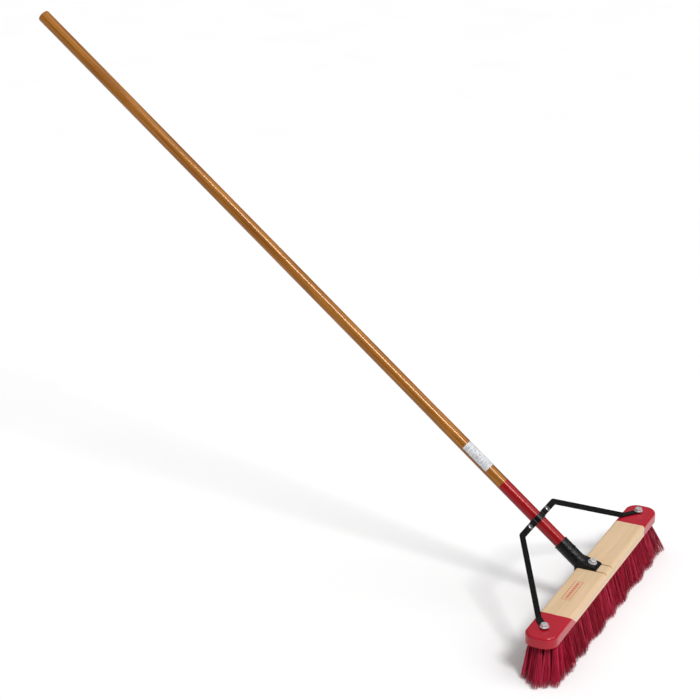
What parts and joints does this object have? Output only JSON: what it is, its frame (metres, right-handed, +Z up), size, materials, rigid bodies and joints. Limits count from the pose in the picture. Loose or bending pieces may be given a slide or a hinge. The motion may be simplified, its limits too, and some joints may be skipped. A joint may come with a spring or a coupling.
{
  "type": "push broom",
  "caption": "Push broom with a long wooden block, red bristle tufts, a leaning wooden pole in a bolted steel socket, and a strap brace to both ends of the block.",
  "frame": {"origin": "on the floor, in the middle of the bristle tips, which lead the middle of the block by 7.5 mm", "axes": "+X along the block, -Y towards the side that faces the push, +Y towards the side the pole leans to, +Z up"},
  "size_m": [0.6494, 1.2694, 1.0698],
  "materials": {
    "lacquered_wood": "clear amber lacquer, gloss, lower end dipped in red",
    "label_vinyl": "satin white sticker with plain grey marks",
    "block_wood": "satin varnish, ends dipped in gloss red",
    "bristle_red": "crimson synthetic filament, satin",
    "black_steel": "black enamel, semi-gloss",
    "zinc_steel": "bright zinc plate",
    "staple_wire": "plain drawn wire"
  },
  "bodies": {
    "broom": {"handle": "lacquered_wood", "handle_label": "label_vinyl", "block": "block_wood", "handle_socket": "black_steel", "socket_screw": "black_steel", "socket_washer": "zinc_steel", "socket_bolt": "zinc_steel", "brace": "black_steel", "clamp_plate": "black_steel", "clamp_bolt_left": "zinc_steel", "clamp_bolt_right": "zinc_steel", "clamp_nut_left": "zinc_steel", "clamp_nut_right": "zinc_steel", "brace_washer_left": "zinc_steel", "brace_washer_right": "zinc_steel", "brace_screw_left": "zinc_steel", "brace_screw_right": "zinc_steel", "tuft_roots_1": "bristle_red", "tuft_staples_1": "staple_wire", "tuft_roots_2": "bristle_red", "tuft_staples_2": "staple_wire", "tuft_roots_3": "bristle_red", "tuft_staples_3": "staple_wire", "tuft_roots_4": "bristle_red", "tuft_staples_4": "staple_wire", "tuft_roots_5": "bristle_red", "tuft_staples_5": "staple_wire"},
    "bristles_1": {"bristle_row_1": "bristle_red"},
    "bristles_2": {"bristle_row_2": "bristle_red"},
    "bristles_3": {"bristle_row_3": "bristle_red"},
    "bristles_4": {"bristle_row_4": "bristle_red"},
    "bristles_5": {"bristle_row_5": "bristle_red"}
  },
  "joints": [
    {"name": "bristle_flex_3", "type": "hinge", "parent": "broom", "child": "bristles_3", "pos_m": [0, 0.00751, 0.068], "axis": [1, 0, 0], "range_deg": [-20, 20], "stiffness_Nm_per_rad": 1.2},
    {"name": "bristle_flex_1", "type": "hinge", "parent": "broom", "child": "bristles_1", "pos_m": [0, -0.01549, 0.068], "axis": [1, 0, 0], "range_deg": [-20, 20], "stiffness_Nm_per_rad": 1.2},
    {"name": "bristle_flex_2", "type": "hinge", "parent": "broom", "child": "bristles_2", "pos_m": [0, -0.00399, 0.068], "axis": [1, 0, 0], "range_deg": [-20, 20], "stiffness_Nm_per_rad": 1.2},
    {"name": "bristle_flex_4", "type": "hinge", "parent": "broom", "child": "bristles_4", "pos_m": [0, 0.01901, 0.068], "axis": [1, 0, 0], "range_deg": [-20, 20], "stiffness_Nm_per_rad": 1.2},
    {"name": "bristle_flex_5", "type": "hinge", "parent": "broom", "child": "bristles_5", "pos_m": [0, 0.03051, 0.068], "axis": [1, 0, 0], "range_deg": [-20, 20], "stiffness_Nm_per_rad": 1.2}
  ],
  "couplings": [
    {"joint": "bristle_flex_1", "follows": "bristle_flex_3", "ratio": 1},
    {"joint": "bristle_flex_2", "follows": "bristle_flex_3", "ratio": 1},
    {"joint": "bristle_flex_4", "follows": "bristle_flex_3", "ratio": 1},
    {"joint": "bristle_flex_5", "follows": "bristle_flex_3", "ratio": 1}
  ]
}
